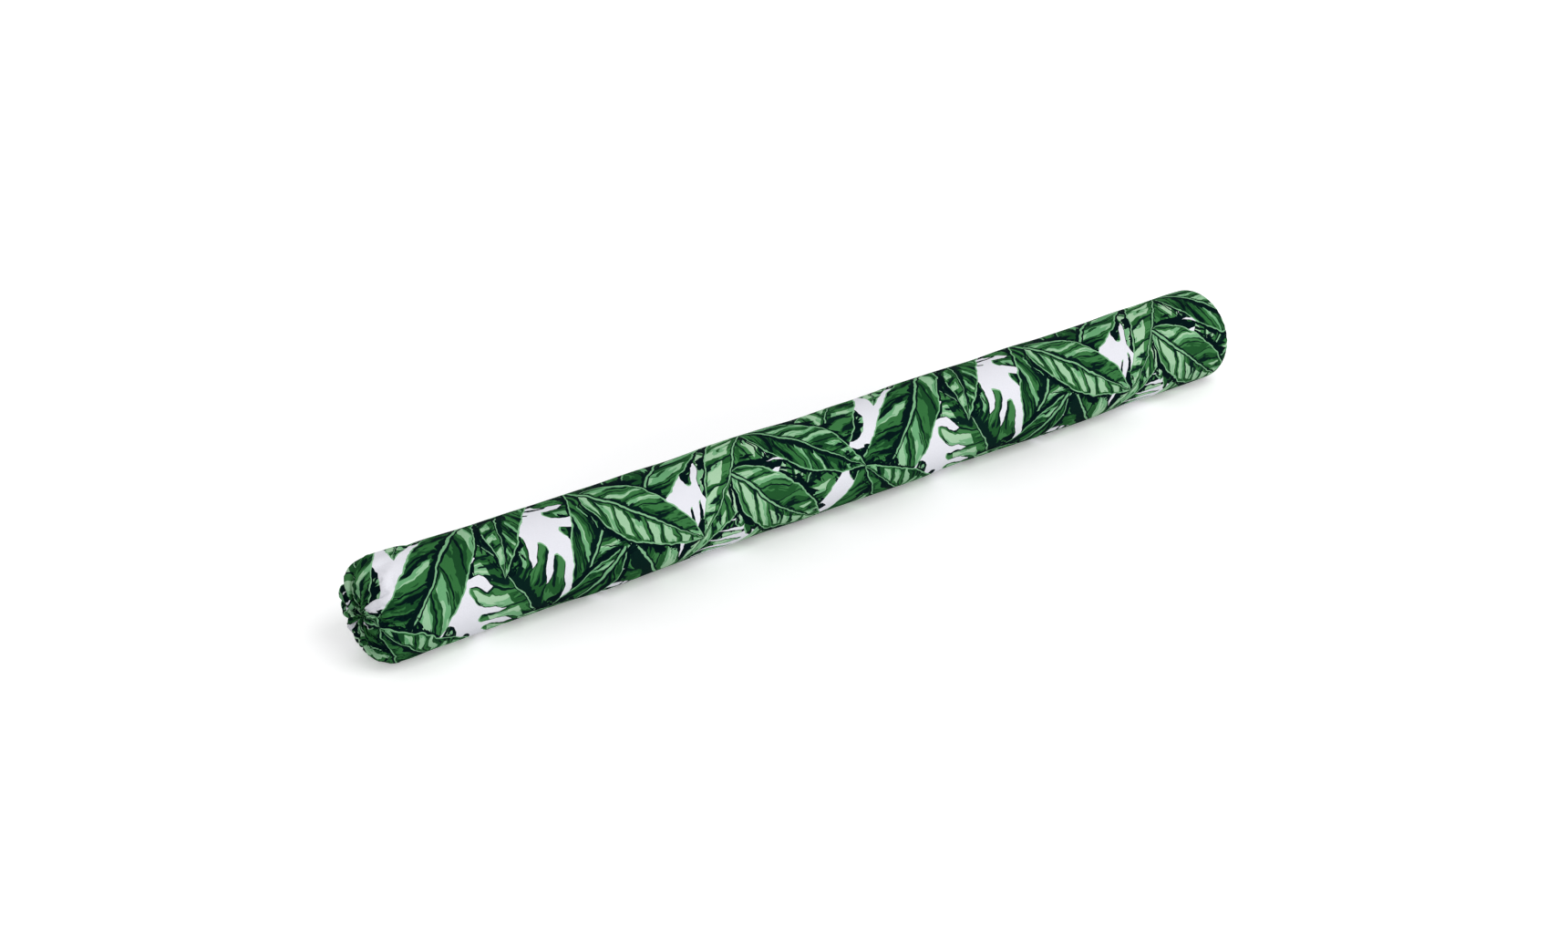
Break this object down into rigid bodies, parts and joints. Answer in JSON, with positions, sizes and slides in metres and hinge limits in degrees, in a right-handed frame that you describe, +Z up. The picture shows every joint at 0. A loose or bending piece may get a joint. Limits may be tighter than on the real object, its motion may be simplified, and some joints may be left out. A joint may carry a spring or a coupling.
{
  "type": "foam roller",
  "caption": "Long soft foam roller in a leaf-printed cloth cover, gathered shut on elastic at one end and closed by a sewn round panel at the other.",
  "frame": {"origin": "under the middle of the roller, on the surface that it rests on", "axes": "+X along the roller from the gathered end to the sewn end panel, +Y to the back, where the long seam lies low, +Z up"},
  "size_m": [1.22, 0.1138, 0.1125],
  "materials": {
    "printed_cloth": "matt printed cotton canvas, leaves in deep and sage greens and near-black on white",
    "liner_cloth": "fine unbleached knit",
    "foam": "closed-cell polyethylene foam, matt",
    "wadding": "lofted polyester wadding",
    "tape": "woven cotton tape, matt",
    "elastic": "braided round elastic, matt",
    "thread": "spun polyester thread"
  },
  "bodies": {
    "root": {"foam_core": "foam", "wadding_wrap": "wadding", "near_end_wadding": "wadding", "far_end_wadding": "wadding", "liner_tube": "liner_cloth", "liner_near_end": "liner_cloth", "liner_far_end": "liner_cloth", "printed_sleeve": "printed_cloth", "far_end_panel": "printed_cloth", "hem_casing_tape": "tape", "gathering_elastic": "elastic", "long_seam_thread": "thread", "end_seam_thread": "thread", "hem_thread": "thread", "liner_thread": "thread"}
  },
  "joints": []
}
